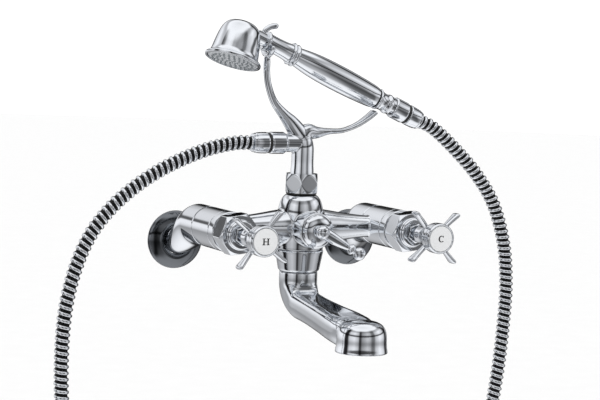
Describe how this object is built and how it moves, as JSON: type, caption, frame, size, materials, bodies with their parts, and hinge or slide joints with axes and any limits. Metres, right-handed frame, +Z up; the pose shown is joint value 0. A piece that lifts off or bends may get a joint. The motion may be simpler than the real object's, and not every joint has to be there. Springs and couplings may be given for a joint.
{
  "type": "wall mounted bath filler with hand shower",
  "caption": "Wall-mounted bath filler: cross-handle valves on eccentric unions, a lever diverter, a down-turned spout, and a cradle that holds a hand shower on a flexible hose.",
  "frame": {"origin": "midway between the two wall inlets, on the wall face", "axes": "+Y into the wall, +X towards the cold inlet, +Z up"},
  "size_m": [0.4882, 0.257, 0.6681],
  "materials": {
    "chrome": "polished chrome plate on brass",
    "hose_metal": "polished wound metal strip",
    "index_silver": "satin silver with a black letter",
    "brass": "machined brass",
    "rubber": "black moulded rubber",
    "ceramic": null,
    "nylon": "light grey moulded plastic"
  },
  "bodies": {
    "tap": {"hot_wall_flange": "chrome", "hot_eccentric_union": "chrome", "hot_union_washer": "rubber", "hot_bonnet_collar": "chrome", "hot_bonnet": "chrome", "hot_gland_nut": "brass", "hot_gland_packing": "rubber", "hot_fixed_disc": "ceramic", "hot_seat_seal": "rubber", "cold_wall_flange": "chrome", "cold_eccentric_union": "chrome", "cold_union_washer": "rubber", "cold_bonnet_collar": "chrome", "cold_bonnet": "chrome", "cold_gland_nut": "brass", "cold_gland_packing": "rubber", "cold_fixed_disc": "ceramic", "cold_seat_seal": "rubber", "mixer_body": "chrome", "riser_gasket": "rubber", "riser_nut": "chrome", "riser_washer": "rubber", "cradle": "chrome", "diverter_cap": "chrome", "diverter_o_ring": "rubber", "spout_collar": "chrome", "spout": "chrome", "spout_o_ring": "rubber", "outlet_insert": "nylon", "lower_hose_washer": "rubber", "lower_hose_nut": "chrome", "lower_hose_ring": "rubber", "lower_hose_ferrule": "chrome", "hose": "hose_metal"},
    "hot_handle": {"hot_spindle": "brass", "hot_moving_disc": "ceramic", "hot_crosshead": "chrome", "hot_handle_screw": "brass", "hot_index_button": "index_silver"},
    "cold_handle": {"cold_spindle": "brass", "cold_moving_disc": "ceramic", "cold_crosshead": "chrome", "cold_handle_screw": "brass", "cold_index_button": "index_silver"},
    "diverter": {"diverter_lever": "chrome", "diverter_rotor": "brass"},
    "handset": {"shower_head": "chrome", "spray_plate": "nylon", "spray_seal": "rubber", "handset_neck": "chrome", "neck_moulding": "chrome", "grip": "chrome", "grip_seam": "rubber", "handset_collar": "chrome", "upper_hose_washer": "rubber", "upper_hose_nut": "chrome", "upper_hose_ring": "rubber", "upper_hose_ferrule": "chrome"}
  },
  "joints": [
    {"name": "hot_handle_turn", "type": "hinge", "parent": "tap", "child": "hot_handle", "pos_m": [-0.09, -0.083, 0.02], "axis": [0, -1, 0], "range_deg": [0, 90]},
    {"name": "cold_handle_turn", "type": "hinge", "parent": "tap", "child": "cold_handle", "pos_m": [0.09, -0.083, 0.02], "axis": [0, -1, 0], "range_deg": [-90, 0]},
    {"name": "diverter_turn", "type": "hinge", "parent": "tap", "child": "diverter", "pos_m": [0, -0.083, 0.02], "axis": [0, -1, 0], "range_deg": [0, 180]},
    {"name": "handset_lift", "type": "slide", "parent": "tap", "child": "handset", "axis": [0, 0, 1], "range_m": [0, 0.06]}
  ]
}
